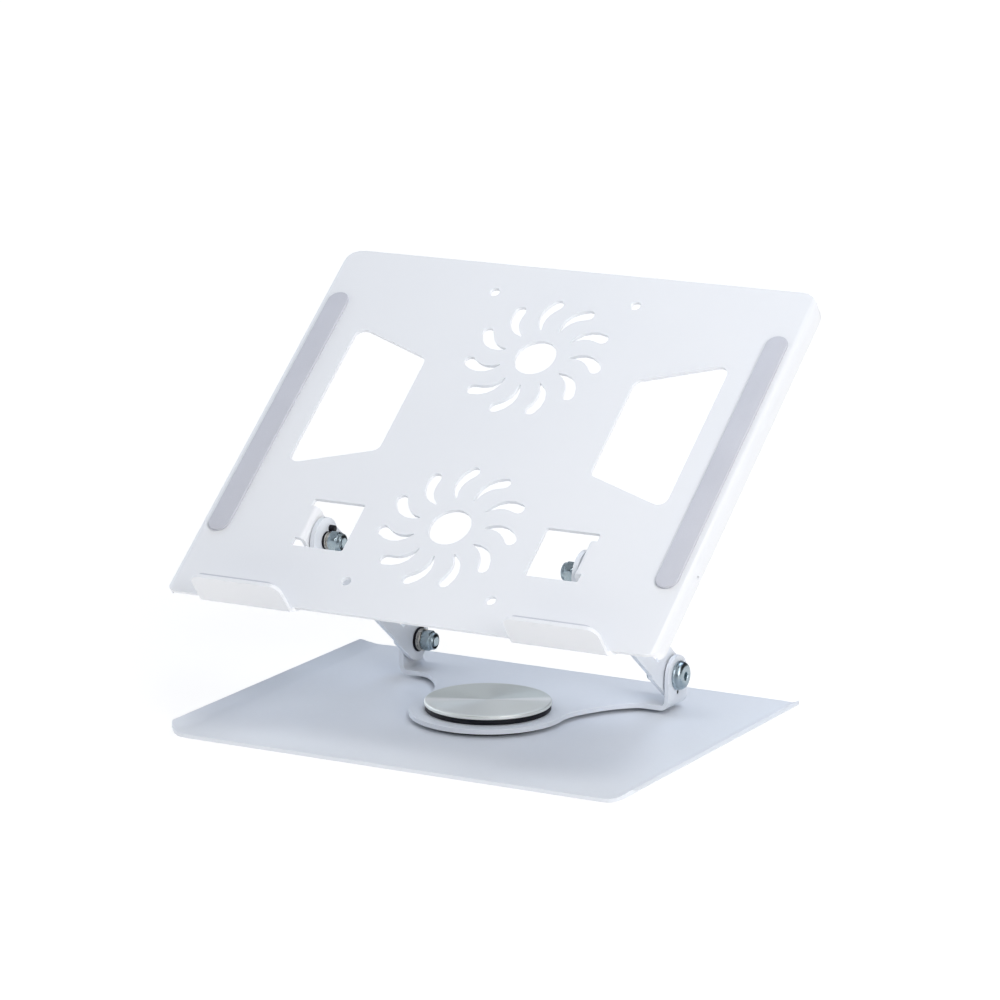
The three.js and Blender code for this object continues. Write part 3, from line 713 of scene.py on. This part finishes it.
def add_tray_pad(label, place, finish):
    """A long strip along the tray's side."""
    node = f"tray_pad_{label}"
    low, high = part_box(node)
    middle = (low.x + high.x) / 2

    def strip(inset):
        half = PAD["half"] - inset
        front, back = PAD["front"] + inset, PAD["back"] - inset
        return pill(middle - half, middle + half, front, back, half - 0.01 * MM)

    bm = pillow(strip, GAP, GAP + PAD["thickness"], PAD["curve"])
    piece(f"{node}_detail", bm, finish, "tray", node, place)


def add_hook_pad(label, side, place, finish):
    """A pad on the inner face of a hook, drawn flat and then stood up."""
    node = f"hook_pad_{label}"
    inner = side * (HOOK["inner"] + HOOK_PAD["margin"])
    outer = side * (HOOK["outer"] - HOOK_PAD["margin"])
    left, right = sorted((inner, outer))

    def patch(inset):
        low, high = HOOK_PAD["low"] + inset, HOOK_PAD["high"] - inset
        return pill(left + inset, right - inset, low, high, HOOK_PAD["corner"] - inset)

    bm = pillow(patch, 0, HOOK_PAD["thickness"], HOOK_PAD["curve"])
    stand = Matrix.Translation((0, HOOK["face"] + GAP, 0)) @ Matrix.Rotation(pi / 2, 4, "X")
    flip = Matrix.Scale(-1, 4, (0, 0, 1))
    piece(f"{node}_detail", bm, finish, "tray", node, place @ stand @ flip)


def add_pads(finish):
    place = tray_frame()
    for label, side in SIDES.items():
        add_tray_pad(label, place, finish)
        add_hook_pad(label, side, place, finish)


# ---- carried-over sheet metal -------------------------------------------------


def dress(node, finish, radius=0):
    """A CAD node kept as it is, with its cut edges rounded by radius."""
    obj = frame["nodes"][node]
    obj.data.materials.clear()
    obj.data.materials.append(finish)
    for polygon in obj.data.polygons:
        polygon.use_smooth = True
    weld = obj.modifiers.new("weld", "WELD")
    weld.merge_threshold = 0.002 * MM
    if radius:
        bevel = obj.modifiers.new("edges", "BEVEL")
        bevel.width = radius
        bevel.segments = 2
        bevel.limit_method = "ANGLE"
        bevel.angle_limit = radians(40)
        bevel.harden_normals = False
    obj.modifiers.new("normals", "WEIGHTED_NORMAL").keep_sharp = True


def set_studio():
    """Camera, floor and light: a cool wall on the left, lamps low and high on the right, one behind."""
    add_camera()
    add_world((-1, 0, 0), (1.79, 1.88, 2.04))
    add_softbox("right_low", 60, 25, 18.5, (0.98, 0.975, 1))
    add_softbox("right_high", 60, 60, 15.5, (0.99, 1, 1))
    add_softbox("rear_high", 180, 60, 12, (0.68, 0.80, 1))
    add_floor(floor_paper())


def build():
    coat = powder_coat("powder_coat", COOL_WHITE)
    for node in ("base_plate", "swivel_bracket", "arm_left", "arm_right"):
        dress(node, coat, SHEET_EDGE)
    dress("tray", powder_coat("tray_powder_coat", WARM_WHITE), SHEET_EDGE)

    plating = zinc()
    rubber = dark_rubber()
    nylon = black_nylon()
    finishes = {"zinc": plating, "washer": yellow_zinc(), "black": nylon}
    for node in ("pivot_bush", "pivot_nut", "thrust_washer"):
        dress(node, plating)
    add_hinge("lower", 0, "swivel", finishes)
    add_hinge("upper", TRAY_TILT, "tray", finishes)
    add_pins(nylon)
    add_cap(brushed_cap())
    add_ring("friction_ring", RING, "swivel", nylon)
    add_ring("slide_disc", SLIDE, "base", nylon)
    add_feet(rubber)
    add_pads(grey_silicone())


bpy.context.scene.view_settings.view_transform = "Standard"
set_studio()
build()
